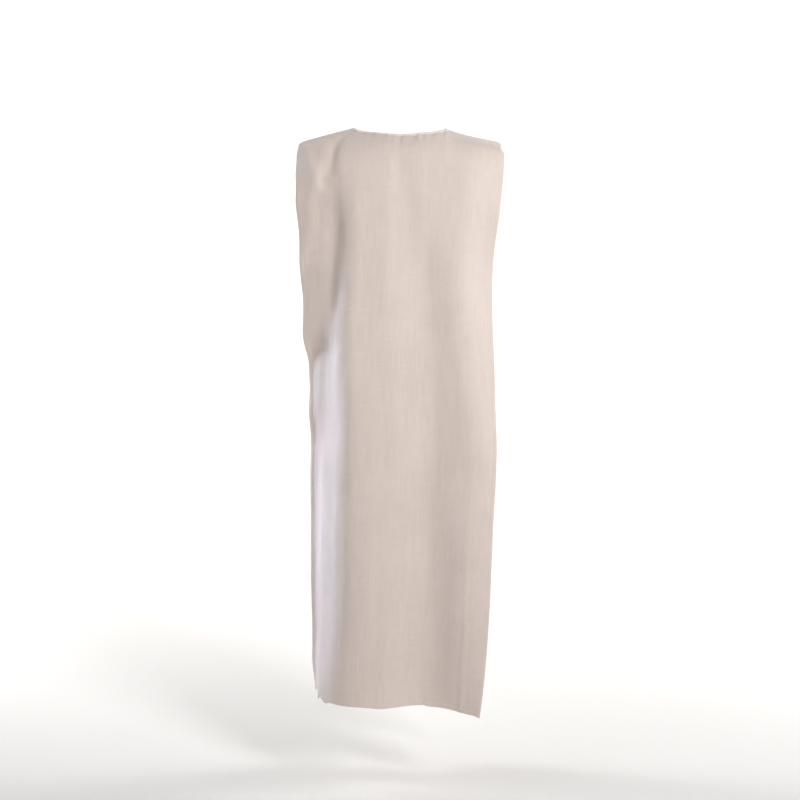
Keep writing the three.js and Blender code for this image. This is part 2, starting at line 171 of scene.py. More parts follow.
# Folds: the line of each moves from `start` to `end` across the panel between the levels `top` and
# `foot`; `roll` tilts its two walls in degrees (a ridge if positive), `step` leans both one way.
FOLD_COLUMNS = (
    "name", "top", "foot", "start", "end", "bow", "wide_top", "wide_foot",
    "roll_top", "roll_foot", "step_top", "step_foot", "fade_in", "fade_out",
)
BACK_FOLDS = table(FOLD_COLUMNS, [
    ("main_valley", 280, 600, 137, 225, 2.5, 19, 32, -11, -4, -30, -9, 130, 90),
    ("star_valley", 40, 170, 136, 170, 1, 11, 10, -11, -12, 0, 0, 20, 25),
    ("star_ridge", 30, 175, 228, 186, 1, 10, 10, 18, 8, 0, 0, 22, 25),
    ("flank_ridge", 150, 320, 190, 232, 1, 11, 13, 5, 8, 0, 0, 25, 60),
    ("flank_valley", 175, 250, 172, 182, 1, 8, 10, -8, -5, 0, 0, 25, 60),
    ("wall_edge", 455, 700, 123, 124, 1, 13, 16, 0, 0, -17, -10, 95, 120),
    ("lower_wall", 560, 720, 140, 172, 1, 18, 24, 5, 0, -14, -7, 70, 140),
    ("centre_valley", 150, 455, 8, -60, 1, 18, 30, -4, -5, 0, 0, 60, 120),
    ("long_valley", 480, 1424, -58, -106, 1, 42, 56, -11, -28, 0, 0, 240, 10),
    ("centre_ridge", 180, 735, 45, -38, 1, 26, 44, 4, 4, 0, 0, 60, 260),
    ("right_ridge", 190, 600, -150, -170, 1, 22, 30, 6, 6, 0, 0, 60, 260),
    ("low_left_ridge", 900, 1290, 192, 196, 1, 20, 20, 6, 8, -7, -9, 200, 150),
    ("edge_curl", 700, 1250, 236, 236, 1, 14, 17, 0, 0, 12, 26, 240, 100),
    ("shade_valley", 110, 390, 150, 156, 1, 14, 17, -9, -11, 0, 0, 60, 90),
    ("nape_crease", 96, 118, 0, 2, 1, 5, 7, -4, -2, 0, 0, 12, 30),
    ("pressed_crease", 1010, 1424, -178, -193, 1, 4, 5, 8, 12, 0, 0, 90, 10),
])
FRONT_FOLDS = table(FOLD_COLUMNS, [
    ("left_drape", 280, 1424, 118, 92, 1, 26, 46, -8, -17, 0, 0, 160, 10),
    ("right_drape", 240, 1424, -112, -96, 1, 24, 42, -8, -15, 0, 0, 140, 10),
    ("centre_ridge", 480, 1424, 14, -8, 1, 40, 52, 5, 10, 0, 0, 220, 10),
    ("left_edge_ridge", 620, 1300, 190, 184, 1, 20, 24, 6, 10, 0, 0, 180, 120),
    ("chest_drag_left", 150, 320, 96, 132, 1, 14, 18, 8, 5, 0, 0, 50, 120),
    ("chest_drag_right", 150, 300, -92, -120, 1, 13, 17, 7, 4, 0, 0, 50, 110),
    ("corner_ridge_left", 30, 100, 200, 176, 1, 13, 11, 9, 9, 0, 0, 25, 40),
    ("corner_ridge_right", 30, 90, -196, -178, 1, 13, 11, 8, 8, 0, 0, 25, 40),
    ("low_right_crease", 930, 1424, 150, 160, 1, 4, 5, 6, 9, 0, 0, 120, 10),
])


# Lamps, placed and sized in metres; `spread` is in degrees, 180 for an open softbox.
LIGHT_COLUMNS = ("name", "place_m", "aim_m", "size_m", "watts", "code", "spread")
LIGHTS = table(LIGHT_COLUMNS, [
    ("key_softbox", (-1.87, 2.7, 0.9), (0, 0.12, -0.3), (0.9, 1.3), 35, "#FFFFFF", 120),
    ("top_softbox", (1.4, 1.1, 1.8), (0.15, 0.1, -0.15), (1.0, 0.8), 5, "#FFFFFF", 180),
    ("front_fill", (0.5, 4.2, 0.3), (0, 0.1, -0.35), (1.2, 1.2), 0.7, "#FFFFFF", 26),
    ("left_fill", (2.6, 2.0, 0.2), (0.1, 0.1, -0.4), (1.6, 1.6), 3, "#FFFFFF", 180),
    ("left_side_strip", (2.8, -1.5, -0.66), (0.15, 0.05, -0.71), (0.8, 0.8), 4.7, "#CFE0FF", 27),
    ("right_side_strip", (-3.1, -0.6, -0.3), (-0.15, 0, -0.6), (0.8, 2.0), 6, "#FFFFFF", 180),
    ("backdrop_left", (2.6, -0.9, 0.9), (1.2, -3.5, -0.6), (1.4, 1.4), 75, "#FFFFFF", 180),
    ("backdrop_right", (-2.6, -0.9, 0.9), (-1.2, -3.5, -0.6), (1.4, 1.4), 75, "#FFFFFF", 180),
])


# ---- working out the cloth ----
def ease(value):
    """Smooth rise from 0 to 1: three squares less two cubes."""
    k = np.clip(value, 0, 1)
    return k * k * (3 - 2 * k)


def along(sections, column, down):
    """One column at any level: a cubic between rows, its slopes weighted from the two rates."""
    at = np.array([row["down"] for row in sections], float)
    value = np.array([row[column] for row in sections], float)
    run = np.diff(at)
    rate = np.diff(value) / run
    middle = (rate[:-1] * run[1:] + rate[1:] * run[:-1]) / (run[:-1] + run[1:])
    lean = np.concatenate([rate[:1], middle, rate[-1:]])
    level = np.clip(down, at[0], at[-1])
    cell = np.clip(np.searchsorted(at, level, side="right") - 1, 0, len(run) - 1)
    k = (level - at[cell]) / run[cell]
    ends = (1 + 2 * k) * (1 - k) ** 2 * value[cell] + k * k * (3 - 2 * k) * value[cell + 1]
    bends = k * (1 - k) ** 2 * lean[cell] - k * k * (1 - k) * lean[cell + 1]
    return ends + bends * run[cell]


def crown(across):
    """Shape of the shoulder line: 0 at a neck point, -1 at a corner, a parabola over the neck."""
    reach = np.abs(across)
    outside = -(reach - NECK_HALF) / SHOULDER
    inside = NECK_HALF / SHOULDER / 2 * (1 - (reach / NECK_HALF) ** 2)
    return np.where(reach > NECK_HALF, outside, inside)


def ridge_line(across):
    """Height of the shoulder line as it hangs: the crown, but the right side sags near the neck,
    by a power of its run, and each outer corner rounds down by a square."""
    run = np.maximum(-across - NECK_HALF, 0) / SHOULDER
    tip = np.maximum(np.abs(across) - HALF + CORNER_REACH, 0) / CORNER_REACH
    return RIDGE_DROP * np.where(run > 0, -(run ** RIDGE_SAG), crown(across)) - CORNER_DROP * tip**2


def neck_level(panel, across):
    """Level of the neckline down the cloth: the crown plus a round scoop, a power of the
    parabola."""
    reach = np.minimum(np.abs(across) / NECK_HALF, 1)
    curve = SHOULDER_SLOPE * crown(across) + panel["neck_depth"] * (1 - reach**2) ** NECK_ROUND
    return np.where(reach < 1, curve, 0)


def foot_level(panel, across):
    """Level of the hem down the cloth: the length, less the shoulder slope and a small skew."""
    return panel["length"] + SHOULDER_SLOPE * crown(across) - HEM_SKEW * across / HALF


def heading(panel, across, down):
    """Turn of the cloth from straight across: both sides turn in, the ridge bends, folds roll."""
    at = {name: along(panel["sections"], name, down) for name in SECTION_COLUMNS[3:]}
    left = ease((across - at["flat_left"]) / (at["full_left"] - at["flat_left"]))
    right = ease((-across - at["flat_right"]) / (at["full_right"] - at["flat_right"]))
    turn = at["turn_right"] * right - at["turn_left"] * left
    tip = np.clip((np.abs(across) - NECK_HALF) / SHOULDER, 0, 1)
    forward = np.sign(across) * np.sin(tip * math.pi / 2) * (1 - ease(down / RIDGE_REACH))
    turn = turn - panel["side"] * RIDGE_TURN * forward
    for fold in panel["folds"]:
        starts = ease((down - fold["top"] + fold["fade_in"]) / fold["fade_in"])
        stops = ease((fold["foot"] + fold["fade_out"] - down) / fold["fade_out"])
        k = np.clip((down - fold["top"]) / (fold["foot"] - fold["top"]), 0, 1)
        line = fold["start"] + (fold["end"] - fold["start"]) * k ** fold["bow"]
        wide = fold["wide_top"] + (fold["wide_foot"] - fold["wide_top"]) * k
        z = (across - line) / wide
        roll = (fold["roll_top"] + (fold["roll_foot"] - fold["roll_top"]) * k) * z * math.exp(0.5)
        step = fold["step_top"] + (fold["step_foot"] - fold["step_top"]) * k
        turn = turn + starts * stops * (step - roll) * np.exp(-z * z / 2)
    return turn


def hang(panel):
    """Lattice of the hanging cloth. Across, the heading is summed from the centre thread, so the
    width is kept; down, each thread drops by what its level run leaves of its own length."""
    across = np.linspace(-HALF, HALF, LATTICE_ACROSS)
    down = np.arange(0, panel["length"] + 40, LATTICE_DOWN)
    stride = across[1] - across[0]
    s, t = np.meshgrid(across, down, indexing="ij")
    turn = np.radians(heading(panel, s, t))

    def summed(slope):
        steps = (slope[1:] + slope[:-1]) / 2 * stride
        total = np.vstack([np.zeros((1, len(down))), np.cumsum(steps, axis=0)])
        return total - total[LATTICE_ACROSS // 2]

    past = np.maximum(np.abs(s) - NECK_HALF, 0) * np.sign(s)
    slope = math.atan2(RIDGE_DROP, SHOULDER)
    shorten = (1 - math.cos(slope)) * (1 - ease(t / (2 * RIDGE_REACH)))
    x = summed(np.cos(turn)) + along(panel["sections"], "centre_x", t) - past * shorten
    out = summed(np.sin(turn)) + along(panel["sections"], "depth", t)
    level = np.diff(x, axis=1) ** 2 + np.diff(out, axis=1) ** 2
    share = level / LATTICE_DOWN**2
    over = np.maximum(share - LEVEL_SHARE, 0) / LEVEL_MARGIN
    share = np.minimum(share, LEVEL_SHARE) + LEVEL_MARGIN * np.tanh(over)
    drop = LATTICE_DOWN * np.sqrt(1 - share)
    ridge = ridge_line(s[:, :1])
    z = np.hstack([ridge, ridge - np.cumsum(drop, axis=1)])
    points = np.stack([x, panel["side"] * (out + SEAM_GAP / 2), z], axis=-1)
    line = np.gradient(points, axis=0)
    normals = np.cross(line, np.gradient(points, axis=1)) * panel["side"]
    normals[:, 0] = np.stack([-line[:, 0, 2], 0 * line[:, 0, 0], line[:, 0, 0]], axis=-1)
    normals /= np.linalg.norm(normals, axis=-1, keepdims=True)
    panel["lattice"] = np.concatenate([points, normals], axis=-1)
    panel["stride"] = stride


def place(panel, across, down):
    """Points and outward directions of the cloth at any places, blended from the lattice."""
    lattice = panel["lattice"]
    u = np.clip((across + HALF) / panel["stride"], 0, lattice.shape[0] - 1.001)
    v = np.clip(down / LATTICE_DOWN, 0, lattice.shape[1] - 1.001)
    i = u.astype(int)
    j = v.astype(int)
    fu = (u - i)[..., None]
    fv = (v - j)[..., None]
    upper = lattice[i, j] * (1 - fu) + lattice[i + 1, j] * fu
    lower = lattice[i, j + 1] * (1 - fu) + lattice[i + 1, j + 1] * fu
    both = upper * (1 - fv) + lower * fv
    normal = both[..., 3:]
    return both[..., :3], normal / np.linalg.norm(normal, axis=-1, keepdims=True)


def uneven(a, b, seed):
    """Uneven field from -1 to 1: random values at whole numbers of a and b, eased between."""
    values = np.random.default_rng(seed).uniform(-1, 1, (96, 512))
    i = np.floor(a).astype(int)
    j = np.floor(b).astype(int)
    fa = ease(a - i)
    fb = ease(b - j)
    rows = (i % 96, (i + 1) % 96)
    cols = (j % 512, (j + 1) % 512)
    near = values[rows[0], cols[0]] * (1 - fa) + values[rows[1], cols[0]] * fa
    far = values[rows[0], cols[1]] * (1 - fa) + values[rows[1], cols[1]] * fa
    return near * (1 - fb) + far * fb


def crumple(panel, across, down):
    """Small unevenness of worn canvas, in millimetres: long soft waves down the cloth, shorter
    ones between them, faint cross drags on the shoulders, and puckers along the stitched hems."""
    seed = panel["seed"]

    def wave(shape, number):
        height, wide, long = shape
        return height * uneven(across / wide + FIELD_SHIFT, down / long, seed + number)

    def band(distance, reach):
        return np.exp(-((distance / reach) ** 2))

    waves = wave(LONG_WAVE, 0) + wave(SHORT_WAVE, 1)
    shoulder = band(down, SHOULDER_DRAG_REACH) * wave(SHOULDER_DRAG, 2)
    edge = HALF - np.abs(across) - HEM_MIDDLE
    foot = foot_level(panel, across) - down - HEM_MIDDLE
    neck = down - neck_level(panel, across) - NECK_PUCKER_LEVEL
    height, wide = NECK_PUCKER
    ripple = uneven(across / wide + FIELD_SHIFT, 0 * down, seed + 5)
    neck_pucker = height * band(neck, NECK_PUCKER_REACH) * ripple
    neck_pucker = np.where(np.abs(across) < NECK_HALF, neck_pucker, 0)
    height, wide = HEM_PUCKER
    ripple = uneven(np.sign(across) * 3 + FIELD_SHIFT, down / wide, seed + 3)
    side_pucker = height * band(edge, HEM_PUCKER_REACH) * ripple
    ripple = uneven(across / wide + FIELD_SHIFT, 0 * down, seed + 4)
    foot_pucker = height * band(foot, HEM_PUCKER_REACH) * ripple
    small = waves + shoulder + side_pucker + neck_pucker
    return ease(down / SETTLE) * small + foot_pucker


def relief(panel, across, down):
    """Height of the outer face over the plain cloth: the seam strip stands up, and each line of
    stitching pulls a shallow groove with a slight swell of the folded hem beside it."""
    edge = HALF - np.abs(across)
    foot = foot_level(panel, across) - down
    strip = np.where(np.abs(across) > BIND_CLEAR, panel["seam_rise"], 0)
    height = strip * (1 - ease((down - SEAM_STRIP) / HEM_STEP))
    depth, narrow = GROOVE
    rise, broad = HEM_SWELL
    for distance, width in ((edge, SIDE_HEM), (foot, FOOT_HEM)):
        height = height - depth * np.exp(-(((distance - width + STITCH_INSET) / narrow) ** 2))
        height = height + rise * np.exp(-(((distance - width / 2) / broad) ** 2))
    return height


def cloth_wall(panel, across, down):
    """Thickness at a place: one layer, three at the turned hems, rounded away at their edges."""
    edge = HALF - np.abs(across)
    foot = foot_level(panel, across) - down
    side = ease((SIDE_HEM - edge) / HEM_STEP + 1)
    low = ease((FOOT_HEM - foot) / HEM_STEP + 1)
    wall = CLOTH + (HEM_CLOTH - CLOTH) * np.maximum(side, low)
    near = np.clip(np.minimum(edge, foot) / (wall / 2), 0, 1)
    bevel = (wall / 2 - EDGE_HALF) * (1 - np.sqrt(1 - (1 - near) ** 2))
    return wall, bevel


def spread(count, start, end, spots):
    """Stations from start to end, gathered at the spots: each is a centre, a reach and a gain."""
    fine = np.linspace(start, end, 6000)
    density = np.ones_like(fine)
    for centre, reach, gain in spots:
        density += gain * np.exp(-(((fine - centre) / reach) ** 2))
    total = np.concatenate([[0], np.cumsum((density[1:] + density[:-1]) / 2)])
    return np.interp(np.linspace(0, total[-1], count), total, fine)


# ---- making meshes ----
def make_mesh(name, points, faces, uv=None):
    """A mesh object at the origin from points in millimetres, quads, and a UV pair per point."""
    mesh = bpy.data.meshes.new(name)
    mesh.vertices.add(len(points))
    mesh.vertices.foreach_set("co", (np.asarray(points) * MM).astype(np.float32).ravel())
    faces = np.asarray(faces, np.int32)
    mesh.loops.add(faces.size)
    mesh.loops.foreach_set("vertex_index", faces.ravel())
    mesh.polygons.add(len(faces))
    starts = np.arange(0, faces.size, faces.shape[1], dtype=np.int32)
    mesh.polygons.foreach_set("loop_start", starts)
    mesh.polygons.foreach_set("use_smooth", np.ones(len(faces), bool))
    if uv is not None:
        layer = mesh.uv_layers.new(name="cloth")
        layer.data.foreach_set("uv", (uv[faces.ravel()] * MM).astype(np.float32).ravel())
    mesh.update(calc_edges=True)
    mesh.validate()
    piece = bpy.data.objects.new(name, mesh)
    bpy.context.scene.collection.objects.link(piece)
    return piece


def grid_faces(rows, columns, first=0):
    """Quads of a grid of points stored row by row."""
    index = first + np.arange(rows * columns).reshape(rows, columns)
    return np.stack(
        [index[:-1, :-1], index[1:, :-1], index[1:, 1:], index[:-1, 1:]], axis=-1
    ).reshape(-1, 4)


def panel_places(panel):
    """Grid of places (across, down) over one panel, gathered at its hems, ridge and neckline."""
    across = spread(MESH_ACROSS, -HALF, HALF, [
        (-HALF, 1.2, 9), (HALF, 1.2, 9),
        (-HALF + SIDE_HEM - 1, 3.5, 3), (HALF - SIDE_HEM + 1, 3.5, 3),
    ])
    length = panel["length"]
    levels = spread(MESH_DOWN, 0, length, [
        (SEAM_STRIP, 6, 3), (length, 1.2, 9), (length - FOOT_HEM + 1, 3.5, 3),
    ])
    foot = foot_level(panel, across)[:, None]
    top = neck_level(panel, across)[:, None]
    low = ease((levels - length + FOOT_BLEND) / (FOOT_BLEND - 30))
    rows = np.arange(MESH_DOWN)
    down = np.maximum(levels + (foot - length) * low, top + NECK_PINCH * rows)
    return np.broadcast_to(across[:, None], down.shape), down


def panel_faces_at(panel, across, down):
    """Outer and inner points of a panel: the hung place, moved out by the small unevenness."""
    point, normal = place(panel, across, down)
    wall, bevel = cloth_wall(panel, across, down)
    swell = crumple(panel, across, down)
    outer = swell + relief(panel, across, down) - bevel
    inner = swell - wall + bevel
    return point + normal * outer[..., None], point + normal * inner[..., None], normal


def cloth_panel(panel):
    """A panel as a closed thin shell: outer grid, inner grid, and a rim joining their borders."""
    across, down = panel_places(panel)
    outer, inner, _ = panel_faces_at(panel, across, down)
    rows, columns = down.shape
    count = rows * columns
    points = np.concatenate([outer.reshape(-1, 3), inner.reshape(-1, 3)])
    front = grid_faces(rows, columns)
    behind = grid_faces(rows, columns, count)[:, ::-1]
    index = np.arange(count).reshape(rows, columns)
    border = np.concatenate([index[:-1, 0], index[-1, :-1], index[:0:-1, -1], index[0, :0:-1]])
    after = np.roll(border, -1)
    rim = np.stack([border, border + count, after + count, after], axis=-1)
    faces = np.concatenate([front, behind, rim])
    if panel["side"] > 0:
        faces = faces[:, ::-1]
    uv = np.stack([across.ravel(), down.ravel()], axis=-1)
    return make_mesh(panel["name"], points, faces, np.concatenate([uv, uv]))


def binding_rings(panel, count):
    """Rings of the neck binding over one half of the opening. Each ring is a rounded fold of tape:
    out over the face of the cloth, round its raw edge and back under it."""
    angle = np.linspace(0, math.pi, count)
    across = NECK_HALF * np.cos(angle)
    ridge = np.sin(angle) < 1e-6
    down = np.where(ridge, 0, neck_level(panel, across))
    fall = np.abs(np.sin(angle)) ** (2 - 2 * NECK_ROUND)
    away = np.stack([2 * NECK_ROUND * np.cos(angle) * panel["neck_depth"], fall * NECK_HALF])
    away = away / np.linalg.norm(away, axis=0)
    away[1] = np.where(ridge, 0, away[1])
    # height over the cloth's outer face and distance from its raw edge, round the tape
    under = -CLOTH - BIND_GAP
    middle = (under + BIND_GAP) / 2
    fold = BIND_WIDTH
    outer = np.array([
        (fold, BIND_GAP + 0.15), (fold - 0.1, BIND_GAP + BIND_CLOTH * 0.75),
        (fold - 0.7, BIND_GAP + BIND_CLOTH), (5.0, BIND_GAP + BIND_CLOTH * 1.15),
        (2.0, BIND_GAP + BIND_CLOTH * 1.1), (0.2, BIND_GAP + BIND_CLOTH * 0.85),
        (-1.0, middle + 1.3), (-1.6, middle), (-1.0, middle - 1.3),
        (0.2, under - BIND_CLOTH * 0.85), (2.0, under - BIND_CLOTH), (5.0, under - BIND_CLOTH),
        (fold - 0.7, under - BIND_CLOTH), (fold - 0.1, under - BIND_CLOTH * 0.75),
        (fold, under - 0.15),
    ])
    inner = np.array([
        (fold - 0.4, under), (4.0, under), (0.4, under), (-0.5, middle), (0.4, BIND_GAP),
        (4.0, BIND_GAP), (fold - 0.4, BIND_GAP),
    ])
    profile = np.concatenate([outer, inner])
    reach = np.maximum(profile[:, 0], 0)
    beyond = np.minimum(profile[:, 0], 0)
    s = across[:, None] + away[0][:, None] * reach
    t = down[:, None] + away[1][:, None] * reach
    point, normal = place(panel, s, t)
    edge, _ = place(panel, across, down)
    root, _ = place(panel, across + away[0] * 4, down + away[1] * 4)
    open_way = edge - root
    open_way /= np.linalg.norm(open_way, axis=-1, keepdims=True)
    length = np.cumsum(np.concatenate([[0], np.linalg.norm(np.diff(edge, axis=0), axis=-1)]))
    ripple = 0.28 * uneven(length / 6 + 9, 0 * length, panel["seed"] + 7) * np.sin(angle) ** 0.5
    lift = profile[:, 1] + ripple[:, None] * (profile[:, 0] < 7)
    swell = crumple(panel, s, t)
    rings = point + normal * (lift + swell)[..., None]
    rings = rings + open_way[:, None, :] * -beyond[None, :, None]
    uv = np.stack([length[:, None] + 0 * reach, profile[:, 0] + 0 * s], axis=-1)
    return rings, uv


def neck_binding(back, front):
    """The binding: rings over the back from left to right, then over the front back to the left."""
    over_back, uv_back = binding_rings(back, BIND_STATIONS)
    over_front, uv_front = binding_rings(front, BIND_STATIONS)
    rings = np.concatenate([over_back[:-1], over_front[::-1][:-1]])
    seam = np.array([0, BIND_STATIONS - 1])
    rings[seam] = (over_back[[0, -1]] + over_front[[0, -1]]) / 2
    uv = np.concatenate([uv_back[:-1], uv_front[::-1][:-1]])
    count, size = rings.shape[:2]
    index = np.arange(count * size).reshape(count, size)
    right = np.roll(index, -1, axis=0)
    faces = np.stack(
        [index, np.roll(index, -1, axis=1), np.roll(right, -1, axis=1), right], axis=-1
    ).reshape(-1, 4)
    return make_mesh("neck_binding_tape", rings.reshape(-1, 3), faces[:, ::-1], uv.reshape(-1, 2))


def stitch_rows(name, rows):
    """Stitches along rows of (points, normals): each is a short thread bead with tapered ends,
    sunk by half its thickness into the cloth; all are one mesh."""
    beads = []
    sides = THREAD_SIDES
    turn = np.arange(sides) / sides * 2 * math.pi
    along_bead = np.array([-0.5, -0.36, 0, 0.36, 0.5]) * STITCH_LENGTH
    girth = np.array([0.25, 0.85, 1.0, 0.85, 0.25]) * THREAD / 2
    sink = np.array([-0.55, -0.1, 0.12, -0.1, -0.55]) * THREAD
    for points, normals in rows:
        length = np.concatenate([[0], np.cumsum(np.linalg.norm(np.diff(points, axis=0), axis=1))])
        at = np.arange(STITCH_PITCH, length[-1] - STITCH_PITCH, STITCH_PITCH)
        spot = np.stack([np.interp(at, length, points[:, k]) for k in range(3)], axis=-1)
        ahead = np.stack([np.interp(at + 0.5, length, points[:, k]) for k in range(3)], axis=-1)
        up = np.stack([np.interp(at, length, normals[:, k]) for k in range(3)], axis=-1)
        way = ahead - spot
        way /= np.linalg.norm(way, axis=1, keepdims=True)
        side = np.cross(up, way)
        side /= np.linalg.norm(side, axis=1, keepdims=True)
        up = np.cross(way, side)
        ring = (
            spot[:, None, None]
            + way[:, None, None] * along_bead[None, :, None, None]
            + side[:, None, None] * (girth[:, None] * np.cos(turn))[None, ..., None]
            + up[:, None, None] * (girth[:, None] * np.sin(turn) + sink[:, None])[None, ..., None]
        )
        beads.append(ring)
    rings = np.concatenate(beads)
    count, stations = rings.shape[:2]
    index = np.arange(count * stations * sides).reshape(count, stations, sides)
    nearer = index[:, :-1]
    further = index[:, 1:]
    walls = np.stack([
        nearer, np.roll(nearer, -1, axis=2), np.roll(further, -1, axis=2), further,
    ], axis=-1).reshape(-1, 4)
    first = index[:, 0, ::-1]
    last = index[:, -1]
    points = rings.reshape(-1, 3)
    polygons = walls.tolist()
    for ends in (first, last):
        polygons.extend(ends.tolist())
    mesh = bpy.data.meshes.new(name)
    mesh.from_pydata((points * MM).tolist(), [], polygons)
    mesh.polygons.foreach_set("use_smooth", np.ones(len(polygons), bool))
    mesh.update()
    piece = bpy.data.objects.new(name, mesh)
    bpy.context.scene.collection.objects.link(piece)
    return piece


def stitched_line(panel, across, down, outside):
    """Points and directions of one row of stitches on the outer or the inner face of a panel."""
    outer, inner, normal = panel_faces_at(panel, across, down)
    return (outer, normal) if outside else (inner, -normal)


def hem_stitching(panel):
    """Rows of topstitching: down both side hems and along the foot, each seen on both faces, and
    two rows along each shoulder's felled strip."""
    inset = SIDE_HEM - STITCH_INSET
    low = FOOT_HEM - STITCH_INSET
    rows = []
    for outside in (True, False):
        for hand in (-1, 1):
            across = np.full(900, hand * (HALF - inset))
            end = foot_level(panel, across[0]) - low
            rows.append(stitched_line(panel, across, np.linspace(2, end, 900), outside))
        across = np.linspace(-HALF + inset, HALF - inset, 500)
        rows.append(stitched_line(panel, across, foot_level(panel, across) - low, outside))
        if panel["seam_rise"] > 0:
            for hand in (-1, 1):
                for level in STRIP_ROWS:
                    across = hand * np.linspace(BIND_CLEAR + 1, HALF - 1.5, 120)
                    rows.append(stitched_line(panel, across, np.full(120, level), outside))
    return rows


def binding_stitching(panel):
    """One row of stitches on the tape, one and a half millimetres in from its outer fold."""
    rings, _ = binding_rings(panel, 400)
    line = (rings[:, 2] + rings[:, 3]) / 2
    across = rings[:, 3] - rings[:, 2]
    way = np.gradient(line, axis=0)
    up = np.cross(across, way)
    up /= np.linalg.norm(up, axis=1, keepdims=True)
    up = up * np.sign(np.sum(up * (rings[:, 3] - rings[:, 11]), axis=1, keepdims=True))
    return [(line + up * 0.05, up)]


# ---- materials ----
def linear(code):
    """An sRGB hex colour as linear red, green, blue and alpha."""
    values = [int(code[k : k + 2], 16) / 255 for k in (1, 3, 5)]
    curved = [v / 12.92 if v <= 0.04045 else ((v + 0.055) / 1.055) ** 2.4 for v in values]
    return (*curved, 1)


def add_node(tree, kind, inputs=None, **settings):
    """Adds one node, gives it its settings, and sets or links each of its inputs."""
    made = tree.nodes.new(kind)
    for name, value in settings.items():
        setattr(made, name, value)
    for name, value in (inputs or {}).items():
        if isinstance(value, bpy.types.NodeSocket):
            tree.links.new(value, made.inputs[name])
        else:
            made.inputs[name].default_value = value
    return made


def cotton_canvas(name, light, shade, warp_mm, weft_mm, roughness, tone_seed):
    """Unbleached cotton canvas in plain weave: matt, faintly fuzzy, with thicker slub yarns that
    draw soft streaks down the warp, cross bars in the weft, and cloudy handling marks."""
    material = bpy.data.materials.new(name)
    material.use_nodes = True
    tree = material.node_tree
    tree.nodes.clear()
    uv = add_node(tree, "ShaderNodeTexCoord").outputs["UV"]
    # real threads lie about 0.5 mm apart: they are drawn at about twice that, so that they show.
    # One wave of the band pattern is pi / 10 units long at scale 1
    warp_scale = math.pi / 10 / (warp_mm * MM)
    weft_scale = math.pi / 10 / (weft_mm * MM)
    wander = add_node(tree, "ShaderNodeTexNoise", {"Vector": uv, "Scale": 55.0, "Detail": 2.0})
    bent = add_node(
        tree, "ShaderNodeMix", {"Factor": 0.0006, "A": uv, "B": wander.outputs["Color"]},
        data_type="VECTOR", blend_type="MIX",
    )
    bent_uv = bent.outputs[1]
    warp = add_node(
        tree, "ShaderNodeTexWave",
        {"Vector": bent_uv, "Scale": warp_scale, "Distortion": 0.6, "Detail": 1.0,
         "Detail Scale": 0.4},
        wave_type="BANDS", bands_direction="X",
    )
    weft = add_node(
        tree, "ShaderNodeTexWave",
        {"Vector": bent_uv, "Scale": weft_scale, "Distortion": 0.6, "Detail": 1.0,
         "Detail Scale": 0.4},
        wave_type="BANDS", bands_direction="Y",
    )
    weave = add_node(
        tree, "ShaderNodeMath", {0: warp.outputs["Fac"], 1: weft.outputs["Fac"]},
        operation="MULTIPLY",
    )
    # slub yarns: 2.4 mm wide and about 70 mm long down the warp, 2.8 mm by 45 mm in the weft
    warp_place = add_node(
        tree, "ShaderNodeMapping", {"Vector": uv, "Scale": (1 / 0.0024, 1 / 0.07, 1)}
    )
    weft_place = add_node(
        tree, "ShaderNodeMapping",
        {"Vector": uv, "Location": (tone_seed, 3, 0), "Scale": (1 / 0.045, 1 / 0.0028, 1)},
    )
    warp_slub = add_node(
        tree, "ShaderNodeTexNoise",
        {"Vector": warp_place.outputs["Vector"], "Scale": 1.0, "Detail": 3.0, "Roughness": 0.6},
    )
    weft_slub = add_node(
        tree, "ShaderNodeTexNoise",
        {"Vector": weft_place.outputs["Vector"], "Scale": 1.0, "Detail": 2.0, "Roughness": 0.5},
    )
    slub = add_node(
        tree, "ShaderNodeMix",
        {"Factor": 0.35, "A": warp_slub.outputs["Fac"], "B": weft_slub.outputs["Fac"]},
        data_type="FLOAT",
    )
    cloud = add_node(
        tree, "ShaderNodeTexNoise", {"Vector": uv, "Scale": 9.0, "Detail": 3.0, "Roughness": 0.55}
    )
    tone = add_node(
        tree, "ShaderNodeMath", {0: cloud.outputs["Fac"], 1: 0.35, 2: slub.outputs[0]},
        operation="MULTIPLY_ADD",
    )
    tone = add_node(
        tree, "ShaderNodeMath", {0: tone.outputs[0], 1: weave.outputs[0]}, operation="ADD"
    )
    spread_tone = add_node(
        tree, "ShaderNodeMapRange",
        {"Value": tone.outputs[0], "From Min": 0.5, "From Max": 1.35, "To Min": 1.0, "To Max": 0.0},
    )
    colour = add_node(
        tree, "ShaderNodeMix",
        {"Factor": spread_tone.outputs["Result"], "A": linear(light), "B": linear(shade)},
        data_type="RGBA",
    )
    height = add_node(
        tree, "ShaderNodeMath", {0: weave.outputs[0], 1: slub.outputs[0]}, operation="ADD"
    )
    bump = add_node(
        tree, "ShaderNodeBump", {"Strength": 0.55, "Distance": 0.0004, "Height": height.outputs[0]}
    )
    shader = add_node(
        tree, "ShaderNodeBsdfPrincipled",
        {"Base Color": colour.outputs[2], "Normal": bump.outputs["Normal"], "Roughness": roughness,
         "Specular IOR Level": 0.25, "Sheen Weight": 0.25, "Sheen Roughness": 0.5},
    )
    add_node(tree, "ShaderNodeOutputMaterial", {"Surface": shader.outputs["BSDF"]})
    return material


